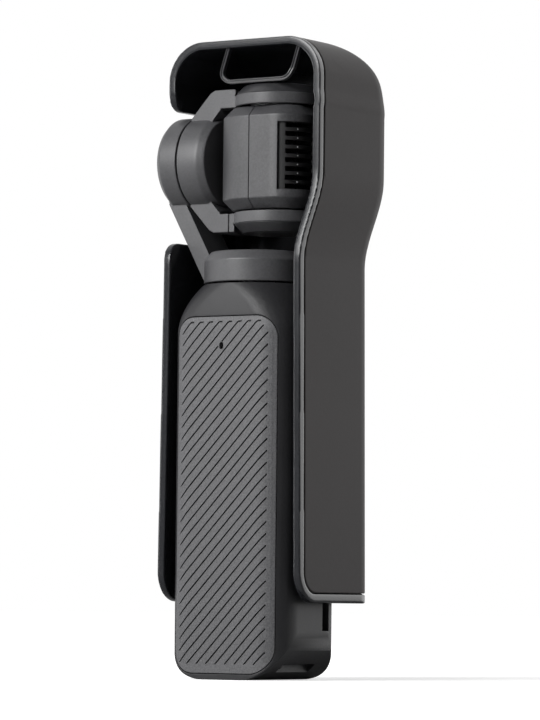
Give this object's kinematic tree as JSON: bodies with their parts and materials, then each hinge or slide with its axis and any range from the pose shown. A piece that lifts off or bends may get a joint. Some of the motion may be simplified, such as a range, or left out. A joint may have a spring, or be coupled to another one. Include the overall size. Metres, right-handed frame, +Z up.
{
  "type": "gimbal camera",
  "caption": "Hand-held camera on a pan, roll and tilt gimbal above a grip with a swivelling screen, parked in its open-backed protective cover.",
  "frame": {"origin": "centre of the flat base of the handle, on the pan axis", "axes": "+Z up the handle to the camera head, -Y towards the screen side and the cover's closed front, +X towards the roll motor"},
  "size_m": [0.0437, 0.0417, 0.1502],
  "materials": {
    "case_plastic": "fine moulded grain, dark grey",
    "grip_plastic": "soft coated, slanting grooves",
    "magnesium": "die cast, bare",
    "cell_wrap": "heat-shrunk film",
    "circuit_board": "solder mask",
    "steel": "turned and stamped",
    "inner_plastic": "moulded",
    "gold_contact": "plated",
    "light_lens": "clear diffuser",
    "copper_winding": "enamelled wire",
    "button_plastic": "satin",
    "button_rubber": "textured",
    "screen_glass": "polished black glass",
    "display": "dark panel",
    "gimbal_metal": "fine textured dark paint",
    "head_plastic": "fine moulded grain",
    "lens_black": "satin black",
    "lens_glass": "coated",
    "cover_skin": "soft touch, fine grain",
    "cover_liner": "moulded, satin rim",
    "cover_pad": "soft pad"
  },
  "bodies": {
    "handle": {"handle_shell": "case_plastic", "grip_plate": "grip_plastic", "mid_frame": "magnesium", "battery": "cell_wrap", "main_board": "circuit_board", "board_screws": "steel", "card_socket": "steel", "speaker": "inner_plastic", "microphone": "steel", "usb_port_shell": "steel", "usb_tongue": "inner_plastic", "base_contacts": "gold_contact", "front_panel": "case_plastic", "status_light": "light_lens", "record_switch": "inner_plastic", "control_board": "circuit_board", "swivel_bush": "inner_plastic", "pan_motor_base": "magnesium", "pan_stator": "copper_winding", "pan_bearings": "steel"},
    "record_key": {"record_button": "button_plastic"},
    "stick_cup": {"joystick_cup": "inner_plastic"},
    "stick_ring": {"joystick_ring": "steel"},
    "stick_cap": {"joystick_cap": "button_rubber"},
    "screen": {"screen_housing": "case_plastic", "cover_glass": "screen_glass", "display_panel": "display", "screen_board": "circuit_board", "swivel_shaft": "steel"},
    "pan_arm": {"yaw_arm": "gimbal_metal", "pan_rotor": "steel", "roll_stator": "copper_winding", "roll_bearings": "steel"},
    "roll_arm": {"roll_frame": "gimbal_metal", "lower_bracket": "gimbal_metal", "top_cap": "gimbal_metal", "bottom_cap": "gimbal_metal", "roll_rotor": "steel", "tilt_stator": "copper_winding", "tilt_bearings": "steel", "pin_bearing": "steel"},
    "camera": {"head_front_shell": "head_plastic", "head_rear_shell": "head_plastic", "lens_barrel": "lens_black", "lens_ring": "lens_black", "lens_elements": "lens_glass", "sensor_board": "circuit_board", "heat_sink": "magnesium", "tilt_rotor": "steel", "tilt_pin": "steel"},
    "cover": {"cover_shell": "cover_skin", "cover_liner": "cover_liner", "cover_cradle": "cover_liner", "cover_pads": "cover_pad"}
  },
  "joints": [
    {"name": "pan", "type": "hinge", "parent": "handle", "child": "pan_arm", "pos_m": [0, 0, 0.0965], "axis": [0, 0, 1], "range_deg": [0, 120]},
    {"name": "roll", "type": "hinge", "parent": "pan_arm", "child": "roll_arm", "pos_m": [0.016, 0, 0.1218], "axis": [1, 0, 0], "range_deg": [-220, 63]},
    {"name": "tilt", "type": "hinge", "parent": "roll_arm", "child": "camera", "pos_m": [-0.0059, 0, 0.1218], "axis": [0, 0, 1], "range_deg": [-80, 120]},
    {"name": "screen_swivel", "type": "hinge", "parent": "handle", "child": "screen", "pos_m": [0, -0.014, 0.057], "axis": [0, 1, 0], "range_deg": [0, 3]},
    {"name": "record_press", "type": "slide", "parent": "handle", "child": "record_key", "axis": [0, 1, 0], "range_m": [0, 0.0004], "stiffness_N_per_m": 1500},
    {"name": "stick_press", "type": "slide", "parent": "handle", "child": "stick_cup", "axis": [0, 1, 0], "range_m": [0, 0.0003], "stiffness_N_per_m": 1500},
    {"name": "stick_nod", "type": "hinge", "parent": "stick_cup", "child": "stick_ring", "pos_m": [-0.006, -0.0106, 0.0246], "axis": [1, 0, 0], "range_deg": [-5, 5], "stiffness_Nm_per_rad": 0.02},
    {"name": "stick_sway", "type": "hinge", "parent": "stick_ring", "child": "stick_cap", "pos_m": [-0.006, -0.0106, 0.0246], "axis": [0, 0, 1], "range_deg": [-5, 5], "stiffness_Nm_per_rad": 0.02},
    {"name": "cover_pull", "type": "slide", "parent": "handle", "child": "cover", "axis": [0, -1, 0], "range_m": [0, 0.055]}
  ]
}
